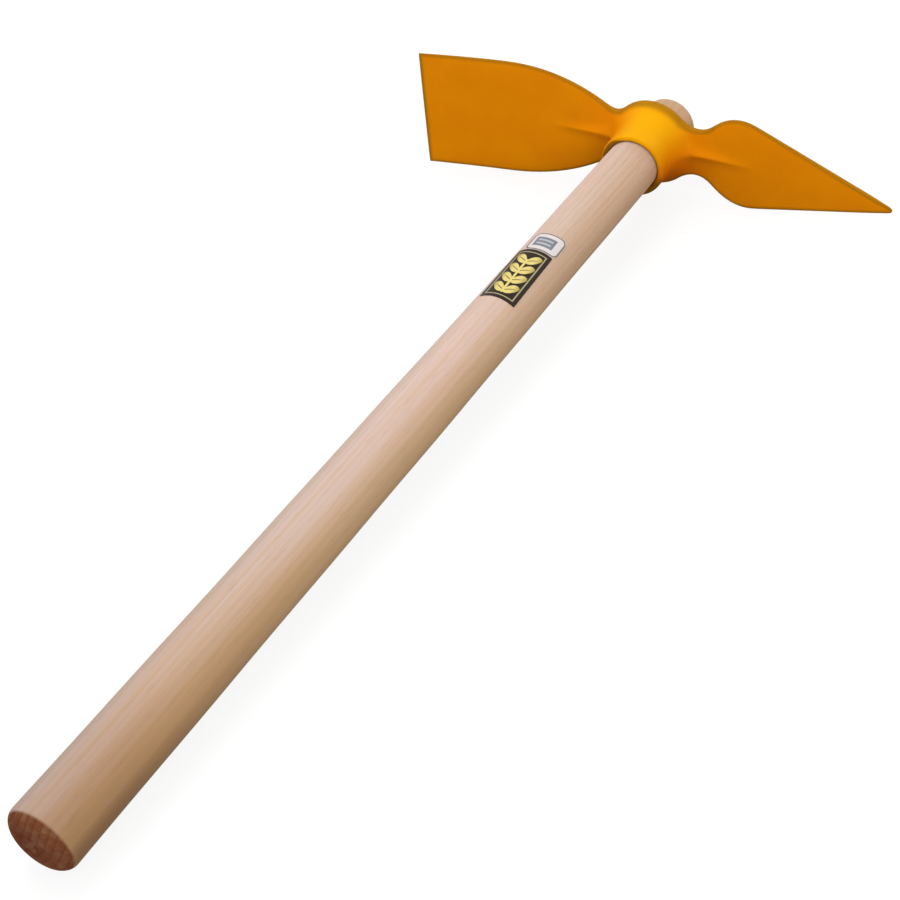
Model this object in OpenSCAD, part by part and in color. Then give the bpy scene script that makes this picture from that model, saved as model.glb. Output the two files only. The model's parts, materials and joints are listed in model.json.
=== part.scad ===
// Two-ended hoe: forged head with a broad and a pointed blade, wedged on a turned wooden handle.
// Each sub-part is drawn about the handle's axis, with the eye's lower rim at height 0 and the
// handle's tip upwards, and is then laid down as the tool rests on the ground.

/* [Handle] */
// Overall length of the handle
handle_len = 600; // [400:10:900]
// Diameter of the grip
grip_d = 33.5; // [30:0.5:38]
// Diameter of the handle's seat at the eye's lower rim
seat_d = 32; // [28:0.5:36]
// Length of the straight grip, from the butt
grip_len = 100; // [60:5:200]
// Rounding of the butt's edge
butt_r = 6; // [1:0.5:10]
// Length of handle that stands out past the eye
tip_out = 22; // [8:1:30]
// Rounding of the tip's edge
tip_r = 3.5; // [1:0.5:6]

/* [Eye] */
// Length of the eye along the handle
eye_len = 35; // [32:1:50]
// Wall of the eye at its lower rim
eye_wall = 3.9; // [3.2:0.1:5]
// Rounding of the eye's outer rims
rim_r = 1.4; // [0.5:0.1:2]
// Chamfer round the mouth of the bore
mouth_chamfer = 0.8; // [0.2:0.1:1.2]
// Gap between handle and eye, on the radius
eye_gap = 0.1; // [0.05:0.05:0.2]
// How much the wedges widen the handle's diameter by the eye's upper rim
spread = 1.2; // [0.4:0.1:2]
// Straight length of the eye below its flare
flare_from = 6; // [2:0.5:10]
// Diameter of the round boss between the blades, that the eye flares out to
boss_d = 54.6; // [52:0.2:60]

/* [Broad blade] */
// Reach of the cutting edge from the handle's axis
broad_reach = 154; // [135:1:200]
// Width of the cutting edge
broad_w = 78; // [70:0.2:90]
// Length of the parallel sides behind the cutting edge
broad_straight = 56; // [30:1:60]
// Radius of the shoulders
broad_shoulder_r = 122; // [110:1:140]
// Radius of the hollows between shoulders and boss
broad_hollow_r = 8; // [6:0.5:16]
// Depth of the blade's middle line below the eye's upper rim, at the axis
broad_set = 1.8; // [1:0.1:4]
// Radius that the blade curves to, towards the butt
broad_curve_r = 740; // [500:10:1500]
// Distance from the axis at which the curve runs out straight
broad_curve_len = 154; // [70:1:200]

/* [Pointed blade] */
// Reach of the point from the handle's axis
point_reach = 156; // [135:1:200]
// Width over the shoulders
point_w = 58; // [54:0.2:64]
// Distance of the shoulders from the handle's axis
shoulder_x = 60.5; // [57:0.5:66]
// Radius of the shoulders
point_shoulder_r = 27.4; // [24:0.2:32]
// Radius of the hollows between shoulders and boss
point_hollow_r = 15; // [10:0.5:20]
// Rounding of the point
point_r = 2.2; // [1:0.1:5]
// Depth of the blade's middle line below the eye's upper rim, at the axis
point_set = 4.3; // [3:0.1:5]
// Radius that the blade curves to, towards the butt
point_curve_r = 380; // [300:10:1000]
// Distance from the axis at which the curve runs out straight
point_curve_len = 64; // [40:1:120]

/* [Both blades] */
// Thickness of the blades at the boss
neck_t = 4.8; // [4:0.2:6]
// Thickness of the blades past the ribs
blade_t = 3.2; // [2.4:0.2:4]
// Thickness left at the sharpened edges
edge_t = 1; // [0.5:0.1:1.6]
// Length of the sharpening bevel
bevel_len = 14; // [6:1:24]
// Reach of the ribs from the handle's axis
rib_reach = 64; // [50:1:70]
// Width of a rib at the boss
rib_w = 17; // [12:1:20]
// Depth of a rib below the blade, at the boss
rib_depth = 1.7; // [1:0.1:1.9]

/* [Wedges] */
// Depth of the wooden wedge in the handle
kerf_wedge_len = 40; // [25:1:50]
// Thickness of the wooden wedge at the handle's tip
kerf_wedge_t = 4.5; // [3:0.1:7]
// Width of the saw kerf, which is the wedge's thickness at its thin end
kerf_w = 1.6; // [1:0.1:2.4]
// Depth of the saw kerf below the wooden wedge
kerf_spare = 5; // [2:1:12]
// Width of the steel wedge
cross_wedge_w = 20; // [14:0.5:24]
// Depth of the steel wedge
cross_wedge_len = 24; // [14:1:30]
// Thickness of the steel wedge at the handle's tip
cross_wedge_t = 3; // [2:0.1:4]
// Thickness of the steel wedge at its thin end
cross_wedge_thin = 0.6; // [0.3:0.1:1]

/* [Labels] */
// Distance of the sticker's upper edge below the eye
sticker_drop = 105.5; // [60:0.5:110]
// Length of the sticker along the handle
sticker_len = 17; // [10:0.5:20]
// Angle that the sticker wraps round the handle
sticker_angle = 71; // [40:1:180]
// Turn of the sticker's middle from the upward side towards the broad blade
sticker_turn = -8; // [-60:0.5:60]
// Length of the label along the handle
label_len = 47; // [30:0.5:55]
// Angle that the label wraps round the handle
label_angle = 76; // [40:1:180]
// Turn of the label's middle from the upward side towards the broad blade
label_turn = -3.5; // [-60:0.5:60]
// Gap between the sticker and the label
label_gap = 0.5; // [0.2:0.1:1]
// Thickness of the label stock
label_t = 0.2; // [0.1:0.05:0.4]
// Layer of glue under the labels
glue_t = 0.15; // [0.1:0.05:0.3]

/* [Hidden] */
// Facets of a full circle
$fn = 96;
// Steps in a drawn arc, and in the small arc of a rounded rim
arc_steps = 14;
rim_steps = 6;
// How far cutting shapes stand out past what they cut
over = 1;
// How far the flare stops inside the boss's edge
flare_inset = 0.6;
// How far a rib's flat side is sunk in the blade at the boss
rib_sunk = 0.3;

butt_z = eye_len + tip_out - handle_len;
tip_z = eye_len + tip_out;
taper_len = -butt_z - grip_len;
grip_r = grip_d / 2;
seat_r = seat_d / 2;
spread_rate = spread / 2 / eye_len;
bore_top_r = seat_r + spread / 2 + eye_gap;
eye_r = seat_r + eye_gap + eye_wall;
boss_r = boss_d / 2;
tip_rad = seat_r + spread_rate * tip_z;
broad_half = broad_w / 2;
broad_x = broad_reach - broad_straight;
point_half = point_w / 2;

// Radius of the handle at height z, from the grip through the taper
function handle_r(z) =
    z < -taper_len ? grip_r
    : z < 0 ? seat_r + (grip_r - seat_r) * -z / taper_len
    : seat_r + spread_rate * z;

// Points on an arc about c, from angle a0 to a1
function arc(c, r, a0, a1, n = arc_steps) =
    [for (i = [0 : n]) let (a = a0 + (a1 - a0) * i / n) c + r * [cos(a), sin(a)]];

// Direction of a vector, in degrees
function turn(v) = atan2(v.y, v.x);

// Centre of a hollow's arc, which touches the boss and the shoulder's arc from outside
function hollow_c(hollow_r, shoulder_c, shoulder_r) =
    let (d = norm(shoulder_c), u = shoulder_c / d,
        from_axis = boss_r + hollow_r, from_shoulder = shoulder_r + hollow_r,
        a = (from_axis * from_axis - from_shoulder * from_shoulder + d * d) / (2 * d),
        b = sqrt(from_axis * from_axis - a * a))
    [u.x * a - u.y * b, u.y * a + u.x * b];

// Upper side of a blade, from the boss through the hollow to the top of its shoulder
function blade_side(x, half_w, shoulder_r, hollow_r) =
    let (s = [x, half_w - shoulder_r], h = hollow_c(hollow_r, s, shoulder_r), touch = h * boss_r / norm(h))
    concat(
        [[0, touch.y]],
        arc(h, hollow_r, 180 + turn(h), 360 + turn(s - h)),
        arc(s, shoulder_r, turn(h - s), 90));

// Drop of a blade's middle line at distance x from the axis: an arc that runs out straight
function drop(x, r, len) =
    x < len ? r - sqrt(r * r - x * x) : drop_end(r, len) + (x - len) * tan(asin(len / r));
function drop_end(r, len) = r - sqrt(r * r - len * len);

// Height of the middle line at x, with the broad blade on the negative side
function mid_z(x) =
    x < 0 ? eye_len - broad_set - drop(-x, broad_curve_r, broad_curve_len)
    : eye_len - point_set - drop(x, point_curve_r, point_curve_len);

// Half the thickness of a blade at distance x from the axis
function half_t(x) =
    blade_t / 2 + (neck_t - blade_t) / 2 * max(0, min(1, (rib_reach - x) / (rib_reach - boss_r)));

// Distances from the axis at which a blade's section is drawn, from the boss to the bevel
function stations(reach) =
    [for (i = [0 : arc_steps]) boss_r + (reach - bevel_len - boss_r) * i / arc_steps];

// The tool lies on one side of each blade and on the butt. Seen along the handle, the floor is the
// line that touches the shoulder arcs of both blades from below.
broad_c = [-broad_x, broad_shoulder_r - broad_half];
point_c = [shoulder_x, point_shoulder_r - point_half];
across = point_c - broad_c;
roll = turn(across) + asin((broad_shoulder_r - point_shoulder_r) / norm(across));
head_drop = broad_shoulder_r + broad_c.x * sin(roll) - broad_c.y * cos(roll);
touch_z = (mid_z(-broad_x) + mid_z(shoulder_x)) / 2;
butt_touch_z = butt_z + butt_r;
pitch = asin((head_drop - grip_r) / (touch_z - butt_touch_z));
axis_h = grip_r * cos(pitch) - butt_touch_z * sin(pitch);

// Half way along the box that the lying tool fills
far_left = broad_reach * cos(roll) + broad_half * sin(roll);
far_right = point_reach * cos(roll);
mid_x = (far_right - far_left) / 2;
mid_y = (butt_z + tip_z) / 2 * cos(pitch);

// Lays a sub-part down: handle along +Y, pointed blade along +X, floor at height 0
module lying() {
    translate([-mid_x, -mid_y, axis_h])
        rotate([pitch, 0, 0])
            rotate([0, roll, 0])
                rotate([-90, 0, 0])
                    children();
}

// Outline given by its upper side, mirrored about the blade's middle
module mirrored_outline(side) {
    lower = [for (i = [len(side) - 1 : -1 : 0]) if (side[i].y > 0) [side[i].x, -side[i].y]];
    polygon(concat(side, lower));
}

module broad_outline() {
    mirrored_outline(concat(
        blade_side(broad_x, broad_half, broad_shoulder_r, broad_hollow_r),
        [[broad_reach, broad_half]]));
}

// The straight edges of the pointed blade touch the shoulder's arc and the point's arc
module point_outline() {
    shoulder_c = [shoulder_x, point_half - point_shoulder_r];
    tip_c = [point_reach - point_r, 0];
    gap = tip_c - shoulder_c;
    lean = asin((point_shoulder_r - point_r) / norm(gap)) - turn(gap);
    mirrored_outline(concat(
        blade_side(shoulder_x, point_half, point_shoulder_r, point_hollow_r),
        arc(shoulder_c, point_shoulder_r, 90, 90 - lean),
        arc(tip_c, point_r, 90 - lean, 0)));
}

module plate_outline() {
    circle(r = boss_r);
    mirror([1, 0]) broad_outline();
    point_outline();
}

// The plate from the side: two curved blades, thick at the boss and bevelled at their edges
module plate_section() {
    left = stations(broad_reach);
    right = stations(point_reach);
    spots = concat(
        [[-broad_reach, edge_t / 2]],
        [for (i = [arc_steps : -1 : 0]) [-left[i], half_t(left[i])]],
        [for (x = right) [x, half_t(x)]],
        [[point_reach, edge_t / 2]]);
    polygon(concat(
        [for (p = spots) [p.x, mid_z(p.x) + p.y]],
        [for (i = [len(spots) - 1 : -1 : 0]) [spots[i].x, mid_z(spots[i].x) - spots[i].y]]));
}

module plate() {
    intersection() {
        linear_extrude(height = eye_len + over) plate_outline();
        rotate([90, 0, 0]) linear_extrude(height = broad_w + 2 * over, center = true) plate_section();
    }
}

// Low ridge under a blade, between the heights of its crest at the boss and at its far end. It runs
// along +X from the axis and sinks into the blade as it goes.
module rib(near_z, far_z) {
    fall = (near_z - far_z) / (rib_reach - boss_r);
    tall = rib_depth + rib_sunk;
    half_top = tall * rib_w / 2 / rib_depth;
    translate([0, 0, near_z + fall * boss_r]) rotate([0, 90 + atan(fall), 0])
        linear_extrude(height = rib_reach)
            polygon([[0, 0], [-tall, -half_top], [-tall, half_top]]);
}

// The eye's tube, which flares out to the boss under the blades
module eye_shell() {
    rotate_extrude() polygon(concat(
        [[0, 0]],
        arc([eye_r - rim_r, rim_r], rim_r, -90, 0, rim_steps),
        arc([eye_r - rim_r, eye_len - rim_r], rim_r, 0, 90, rim_steps),
        [[0, eye_len]]));
}

module flare() {
    out_r = boss_r - flare_inset;
    low_z = mid_z(boss_r) - neck_t / 2;
    top_z = mid_z(-boss_r);
    step = out_r - eye_r;
    run = low_z - flare_from;
    r = (step * step + run * run) / (2 * step);
    rotate_extrude() polygon(concat(
        [[0, flare_from]],
        arc([eye_r + r, flare_from], r, 180, 180 - asin(run / r)),
        [[out_r, top_z], [0, top_z]]));
}

// Tapered hole that the wedges spread the handle into
module bore() {
    rotate_extrude() polygon([
        [0, -over],
        [seat_r + eye_gap + mouth_chamfer + over, -over],
        [seat_r + eye_gap + spread_rate * mouth_chamfer, mouth_chamfer],
        [bore_top_r, eye_len],
        [bore_top_r + spread_rate * neck_t, eye_len + neck_t],
        [0, eye_len + neck_t]]);
}

module hoe_head() {
    color("darkorange") lying() difference() {
        union() {
            eye_shell();
            flare();
            plate();
            mirror([1, 0, 0]) rib(mid_z(-boss_r) - neck_t / 2 - rib_depth, mid_z(-rib_reach) - blade_t / 2);
            rib(mid_z(boss_r) - neck_t / 2 - rib_depth, mid_z(rib_reach) - blade_t / 2);
        }
        bore();
    }
}

module handle_blank() {
    rotate_extrude() polygon(concat(
        [[0, butt_z]],
        arc([grip_r - butt_r, butt_z + butt_r], butt_r, -90, 0, rim_steps),
        [[grip_r, -taper_len], [seat_r, 0]],
        arc([tip_rad - tip_r, tip_z - tip_r], tip_r, 0, 90, rim_steps),
        [[0, tip_z]]));
}

// Wedge with its thick end flush with the handle's tip, across the handle
module wedge_shape(len, thick, thin, width) {
    translate([0, 0, tip_z]) rotate([90, 0, 0])
        linear_extrude(height = width, center = true)
            polygon([[-thick / 2, 0], [-thin / 2, -len], [thin / 2, -len], [thick / 2, 0]]);
}

module kerf_wedge_shape() {
    wedge_shape(kerf_wedge_len, kerf_wedge_t, kerf_w, 2 * tip_rad + 2 * over);
}

module cross_wedge_shape() {
    rotate([0, 0, 90]) wedge_shape(cross_wedge_len, cross_wedge_t, cross_wedge_thin, cross_wedge_w);
}

module saw_kerf() {
    translate([-kerf_w / 2, -tip_rad - over, tip_z - kerf_wedge_len - kerf_spare])
        cube([kerf_w, 2 * tip_rad + 2 * over, kerf_spare + over]);
}

module handle() {
    color("burlywood") lying() difference() {
        handle_blank();
        kerf_wedge_shape();
        saw_kerf();
        cross_wedge_shape();
    }
}

module kerf_wedge() {
    color("peru") lying() difference() {
        intersection() {
            kerf_wedge_shape();
            handle_blank();
        }
        cross_wedge_shape();
    }
}

module cross_wedge() {
    color("silver") lying() cross_wedge_shape();
}

// Paper laid round the tapered handle between two heights
module wrapped_paper(top, len, wrap, turn) {
    low = top - len;
    inner = [handle_r(low) + glue_t, handle_r(top) + glue_t];
    rotate([0, 0, -90 - turn - wrap / 2]) rotate_extrude(angle = wrap)
        polygon([[inner[0], low], [inner[0] + label_t, low], [inner[1] + label_t, top], [inner[1], top]]);
}

module top_sticker() {
    color("gainsboro") lying() wrapped_paper(-sticker_drop, sticker_len, sticker_angle, sticker_turn);
}

module front_label() {
    top = -sticker_drop - sticker_len - label_gap;
    color("black") lying() wrapped_paper(top, label_len, label_angle, label_turn);
}

hoe_head();
handle();
kerf_wedge();
cross_wedge();
front_label();
top_sticker();
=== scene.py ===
# Two-ended hoe: a forged, painted head wedged on a turned beech handle, lying on a pale floor.
# The pieces are drawn in millimetres about the handle's axis: x to the pointed blade, y from the
# butt to the tip with the eye's lower rim at 0, z up. layDown() then puts them as the frame says.
# The materials measure from the same axis in metres, the papers' print in millimetres.
import json
import math

import bmesh
import bpy
from mathutils import Matrix, Vector


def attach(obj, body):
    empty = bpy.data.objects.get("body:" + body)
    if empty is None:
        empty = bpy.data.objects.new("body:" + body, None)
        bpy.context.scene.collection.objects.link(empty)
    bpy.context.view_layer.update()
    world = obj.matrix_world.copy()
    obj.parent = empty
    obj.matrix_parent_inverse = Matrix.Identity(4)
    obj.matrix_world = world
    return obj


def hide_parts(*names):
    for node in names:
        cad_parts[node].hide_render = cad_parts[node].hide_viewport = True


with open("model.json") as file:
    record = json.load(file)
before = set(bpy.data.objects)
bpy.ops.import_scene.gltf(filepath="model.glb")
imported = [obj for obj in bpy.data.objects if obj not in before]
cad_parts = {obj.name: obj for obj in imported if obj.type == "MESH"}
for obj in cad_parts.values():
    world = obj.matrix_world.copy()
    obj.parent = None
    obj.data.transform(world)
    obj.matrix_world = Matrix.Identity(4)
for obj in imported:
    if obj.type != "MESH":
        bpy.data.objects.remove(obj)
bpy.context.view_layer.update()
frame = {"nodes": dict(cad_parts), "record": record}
scene = bpy.context.scene
scene.view_settings.view_transform = "Standard"
print("frame loaded, nodes:", ", ".join(sorted(frame["nodes"])))

mm = 0.001
white = (1, 1, 1, 1)
sharpFrom = math.radians(40)  # steeper edges than this stay sharp

# where the tool lies: the butt's centre and the handle's direction come from the record
lie = {"buttToEye": 543.0, "roll": 3.68}
mounts = {mount["name"]: mount for mount in frame["record"]["mounts"]}
alongHandle = -Vector(mounts["butt_face"]["axis"]).normalized()
eyeSpot = Vector(mounts["butt_face"]["pos_m"]) + alongHandle * lie["buttToEye"] * mm
toolFrame = (
    Matrix.Translation(eyeSpot)
    @ Matrix.Rotation(math.asin(alongHandle.z), 4, "X")
    @ Matrix.Rotation(math.radians(lie["roll"]), 4, "Y")
)
toolAxis = bpy.data.objects.new("toolAxis", None)  # the grain and the paint are laid out from here
scene.collection.objects.link(toolAxis)
toolAxis.matrix_world = toolFrame
toolAxis.hide_render = True


# shape helpers
def clamped(value):
    return min(1.0, max(0.0, value))


def smoothStep(low, high, value):
    part = clamped((value - low) / (high - low))
    return part * part * (3 - 2 * part)


def blendAt(low, high, part):
    return low + (high - low) * part


def aroundAxis(r, angle, y):
    return (r * math.cos(angle), y, r * math.sin(angle))


def finishMesh(mesh, name):
    data = bpy.data.meshes.new(name)
    mesh.to_mesh(data)
    mesh.free()
    return data


def layDown(mesh):
    # from millimetres about the handle's axis to where the tool lies
    mesh.transform(toolFrame @ Matrix.Scale(mm, 4))
    mesh.polygons.foreach_set("use_smooth", [True] * len(mesh.polygons))
    mesh.materials.clear()


def addPiece(name, mesh, body, slot, *nodes):
    piece = bpy.data.objects.new(name, mesh)
    scene.collection.objects.link(piece)
    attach(piece, body)
    if nodes:
        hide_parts(*nodes)
    return piece


def applyModifiers(piece):
    graph = bpy.context.evaluated_depsgraph_get()
    solid = bpy.data.meshes.new_from_object(piece.evaluated_get(graph))
    piece.modifiers.clear()
    piece.data = solid


# camera, set from the photograph's perspective
shot = {
    "azimuth": 33.96, "elevation": 40.24, "roll": -6.45,
    "spot": (364.0, -767.6, 506.0), "lens": 64.72, "clipStart": 0.01,
}
camera = bpy.data.objects.new("camera", bpy.data.cameras.new("camera"))
scene.collection.objects.link(camera)
camera.data.lens = shot["lens"]
camera.data.clip_start = shot["clipStart"]
camera.matrix_world = (
    toolFrame
    @ Matrix.Translation(Vector(shot["spot"]) * mm)
    @ Matrix.Rotation(math.radians(shot["azimuth"]), 4, "Z")
    @ Matrix.Rotation(math.radians(90 - shot["elevation"]), 4, "X")
    @ Matrix.Rotation(math.radians(shot["roll"]), 4, "Z")
)
scene.camera = camera
print("camera set")


# node helpers
def newMaterial(name):
    material = bpy.data.materials.new(name)
    material.use_nodes = True
    tree = material.node_tree
    tree.nodes.clear()
    out = tree.nodes.new("ShaderNodeOutputMaterial")
    shader = tree.nodes.new("ShaderNodeBsdfPrincipled")
    tree.links.new(shader.outputs[0], out.inputs[0])
    return material, tree, shader


def feed(tree, socket, value):
    # a link from another node, or a plain value
    if isinstance(value, bpy.types.NodeSocket):
        tree.links.new(value, socket)
    else:
        socket.default_value = value


def put(tree, kind, inputs=None, **settings):
    node = tree.nodes.new("ShaderNode" + kind)
    for key, value in settings.items():
        setattr(node, key, value)
    for key, value in (inputs or {}).items():
        feed(tree, node.inputs[key], value)
    return node


def maths(tree, operation, first, second=0.0, third=0.0):
    return put(tree, "Math", {0: first, 1: second, 2: third}, operation=operation).outputs[0]


def times(tree, first, second):
    return maths(tree, "MULTIPLY", first, second)


def vectorMaths(tree, operation, first, second):
    return put(tree, "VectorMath", {0: first, 1: second}, operation=operation).outputs[0]


def dotProduct(tree, first, second):
    return put(tree, "VectorMath", {0: first, 1: second}, operation="DOT_PRODUCT").outputs["Value"]


def lengthOf(tree, vector):
    return put(tree, "VectorMath", {0: vector}, operation="LENGTH").outputs["Value"]


def blendColours(tree, factor, first, second, mode="MIX"):
    node = tree.nodes.new("ShaderNodeMix")
    node.data_type = "RGBA"
    node.blend_type = mode
    for key, value in ((0, factor), (6, first), (7, second)):  # 6 and 7 are the colours
        feed(tree, node.inputs[key], value)
    return node.outputs[2]


def tinted(tree, colour, tone, mask, share):
    # a share of the way from a colour to a tone, where a mask says
    return blendColours(tree, times(tree, mask, share), colour, tone)


def ramp(tree, value, span):
    # 0 at the span's first number, 1 at its second
    return put(tree, "MapRange", {0: value, 1: span[0], 2: span[1], 3: 0.0, 4: 1.0}).outputs[0]


def band(tree, value, middle, half, soft):
    # 1 within half of the middle, fading out over soft
    away = maths(tree, "ABSOLUTE", maths(tree, "SUBTRACT", value, middle))
    return ramp(tree, away, (half + soft, half))


def toolCoords(tree):
    return put(tree, "TexCoord", object=toolAxis).outputs["Object"]


def outFromAxis(tree, coords):
    return lengthOf(tree, vectorMaths(tree, "MULTIPLY", coords, (1, 0, 1)))


def stretched(tree, vector, scales):
    return put(tree, "Mapping", {0: vector, 3: scales}).outputs[0]


def noise(tree, vector, scale, detail, rough):
    inputs = {"Vector": vector, "Scale": scale, "Detail": detail, "Roughness": rough}
    return put(tree, "TexNoise", inputs).outputs[0]


def longNoise(tree, vector, scales, detail, rough):
    return noise(tree, stretched(tree, vector, scales), 1.0, detail, rough)


def unevenRoughness(tree, value, middle, share):
    # a value from 0 to 1 moves the roughness about its middle
    return maths(tree, "MULTIPLY_ADD", value, share, middle - share / 2)


def bumpInto(tree, shader, height, strength, distance):
    bump = put(tree, "Bump", {"Height": height, "Strength": strength, "Distance": distance})
    tree.links.new(bump.outputs[0], shader.inputs["Normal"])


def newGroup(name, vectors, numbers, results):
    group = bpy.data.node_groups.new(name, "ShaderNodeTree")
    for label in vectors:
        group.interface.new_socket(label, in_out="INPUT", socket_type="NodeSocketVector")
    for label, value in numbers.items():
        socket = group.interface.new_socket(label, in_out="INPUT", socket_type="NodeSocketFloat")
        socket.default_value = value
    for label in results:
        group.interface.new_socket(label, in_out="OUTPUT", socket_type="NodeSocketFloat")
    return group, group.nodes.new("NodeGroupInput").outputs, group.nodes.new("NodeGroupOutput")


def giveOut(group, out, **results):
    for label, value in results.items():
        group.links.new(value, out.inputs[label])


def useGroup(tree, group, **inputs):
    node = tree.nodes.new("ShaderNodeGroup")
    node.node_tree = group
    for key, value in inputs.items():
        feed(tree, node.inputs[key], value)
    return node.outputs


# shared effects; a noise is given as scale, detail and roughness
timberLook = {
    "pith": (0.031, 0.0, -0.024), "ringLean": (1, 0.02, 1), "late": 2.2, "ringEdge": (1.0, 0.9),
    "sway": 0.012, "swayScales": (14, 2.2, 14), "fibre": ((520, 7, 520), 3.0, 0.6),
    "dashes": ((900, 95, 900), 1.0, 0.4), "dashSpan": (0.58, 0.75),
    "drift": ((55, 5, 55), 2.0, 0.5), "driftSpan": (0.3, 0.7),
    "streak": ((260, 5, 260), 2.0, 0.55), "streakSpan": (0.42, 0.7),
}
scuffLook = {"chips": (420.0, 4.0, 0.65), "mottle": (38.0, 3.0, 0.55), "chipSpan": (0.0, 0.12), "whole": 0.78}


def makeTimberGroup():
    # growth rings about a pith line beside the stick, long fibres and short ray flecks
    results = ["Rings", "Fibre", "Flecks", "Drift", "Streak"]
    group, given, out = newGroup("timber", ["Vector"], {"RingWidth": 3.2, "Seed": 0.0}, results)
    look = timberLook
    seedShift = put(group, "CombineXYZ", {1: given["Seed"]}).outputs[0]
    moved = vectorMaths(group, "ADD", given["Vector"], seedShift)
    slow = stretched(group, moved, look["swayScales"])
    sway = put(group, "TexNoise", {"Vector": slow, "Scale": 1.0, "Detail": 1.0}).outputs["Color"]
    sway = vectorMaths(group, "SUBTRACT", sway, (0.5, 0.5, 0.5))
    sway = put(group, "VectorMath", {0: sway, "Scale": look["sway"]}, operation="SCALE").outputs[0]
    fromPith = vectorMaths(group, "ADD", given["Vector"], sway)
    fromPith = vectorMaths(group, "ADD", fromPith, look["pith"])
    fromPith = vectorMaths(group, "MULTIPLY", fromPith, look["ringLean"])
    reach = times(group, lengthOf(group, fromPith), 1 / mm)
    year = maths(group, "FRACT", maths(group, "DIVIDE", reach, given["RingWidth"]))
    late = maths(group, "POWER", year, look["late"])
    giveOut(
        group, out,
        Rings=times(group, late, ramp(group, year, look["ringEdge"])),
        Fibre=longNoise(group, moved, *look["fibre"]),
        Flecks=ramp(group, longNoise(group, moved, *look["dashes"]), look["dashSpan"]),
        Drift=ramp(group, longNoise(group, moved, *look["drift"]), look["driftSpan"]),
        Streak=ramp(group, longNoise(group, moved, *look["streak"]), look["streakSpan"]),
    )
    return group


def makeScuffGroup():
    # wear that follows an edge mask, broken up by noise, and a slow mottle
    group, given, out = newGroup("scuff", ["Vector"], {"Edge": 0.0, "Amount": 0.5}, ["Wear", "Mottle"])
    chips = noise(group, given["Vector"], *scuffLook["chips"])
    level = maths(group, "ADD", chips, times(group, given["Edge"], given["Amount"]))
    level = maths(group, "SUBTRACT", level, scuffLook["whole"])
    wear = ramp(group, level, scuffLook["chipSpan"])
    giveOut(group, out, Wear=wear, Mottle=noise(group, given["Vector"], *scuffLook["mottle"]))
    return group


timber = makeTimberGroup()
scuff = makeScuffGroup()
print("shared node groups made")


# head; a span runs from where its mask is 0 to where it is 1
# an Out is metres from the axis, an Up or Aside a part of that; the thin band, mouth and lip are millimetres
paint = {
    "colour": (0.89, 0.288, 0.001, 1), "deep": (0.85, 0.258, 0.001, 1), "deepSpan": (0.35, 0.68),
    # eyeLitTone is a painted highlight: the upper side of the eye is tinted yellower where the light falls on
    # it
    "eyeLitTone": (0.88, 0.40, 0.002, 1), "eyeOut": (0.032, 0.023), "eyeUp": (0.1, 0.85),
    "eyeAside": (-0.78, -0.2),
    # the shade under the eye is painted shade: a darker, redder tone in the hollow below the eye and ribs,
    # with rougher paint there
    "shadeUnderEye": (0.66, 0.145, 0.001, 1), "shadeUnderEyeOut": (0.048, 0.027), "shadeUnderEyeUp": (0.2, -0.38),
    "shadeUnderEyeAside": (-0.9, 0.4), "shadeUnderEyeShare": 0.85, "shadeUnderEyeRough": 0.3,
    "thin": (0.27, 0.135, 0.004, 1), "thinBand": (0.6, 3.2), "thinShare": 0.7,
    "bare": (0.20, 0.11, 0.03, 1), "bareShare": 0.55, "wear": 0.22,
    # the mouth colour is painted shade: the gap between the eye's lower mouth and the handle, and the
    # underside of its lower lip
    "mouth": (0.20, 0.095, 0.006, 1), "mouthShare": 0.9, "mouthRadius": 17.7, "mouthWider": 2.1,
    "mouthAside": (4, 14), "mouthSoft": 1.2, "mouthUp": (5.0, 2.0),
    "lipUnder": (-2, -10), "lipUp": (4.5, 1.0),
    "roughness": 0.58, "unevenRough": 0.16, "shine": 0.03,
    "peel": (900.0, 2.0, 0.5), "sag": 5.0, "bump": (0.12, 0.0004),
}
# lips, bore ends and boss: out from the tube, bore or boss, and up from the rim, top or blade beside them
eye = {
    "length": 35.0, "radius": 20.0, "boss": 27.3, "boreLow": 16.12, "boreHigh": 16.72,
    "lowerLip": ((-1.6, 0.0), (-0.5, 0.3), (0.0, 1.3), (0.0, 3.2)), "upperLip": ((-0.6, -0.15), (-1.6, 0.0)),
    "boreTop": ((0.7, 0.0), (0.0, -0.7), (0.0, -3.0)), "boreFoot": ((0.0, 3.5), (0.05, 1.2), (0.75, 0.15)),
    "flareFrom": 6.0, "flareBend": 2.7, "flareSteps": (0.0, 0.28, 0.52, 0.74, 0.9), "flareEnd": (-0.9, -0.3),
    "bossUnder": -0.5, "bossOver": -0.7, "bossStep": (-2.6, 0.15), "collar": ((2.4, 0.45), (0.3, 0.8)),
    "columns": 48, "patch": 6, "smoothing": 3,
}
blades = {
    "neckThick": 4.8, "neckLong": 38.0, "thick": 3.2, "edgeThick": 1.0, "bevel": 14.0,
    "sideRound": 0.55, "leastFlat": 0.4, "sideThinner": 0.18,
    "ribReach": 67.0, "ribHigh": 2.8, "ribHalf": 5.6, "ribEnd": 4.6, "ribFade": 0.85, "ribFlank": 1.25,
    "crest": 0.25, "crestReach": 62.0, "rootHigh": 1.1, "rootWide": 9.0, "rootFade": (46, 30),
    "steps": (1.7, 3.8, 6.8, 11.0), "stepsAtBoss": (3.5, 7.0, 10.3, 13.5), "bossFade": (44, 28),
    "narrow": 16.0, "narrowSteps": (0.12, 0.27, 0.45, 0.65, 0.84, 1.0),
}
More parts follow.
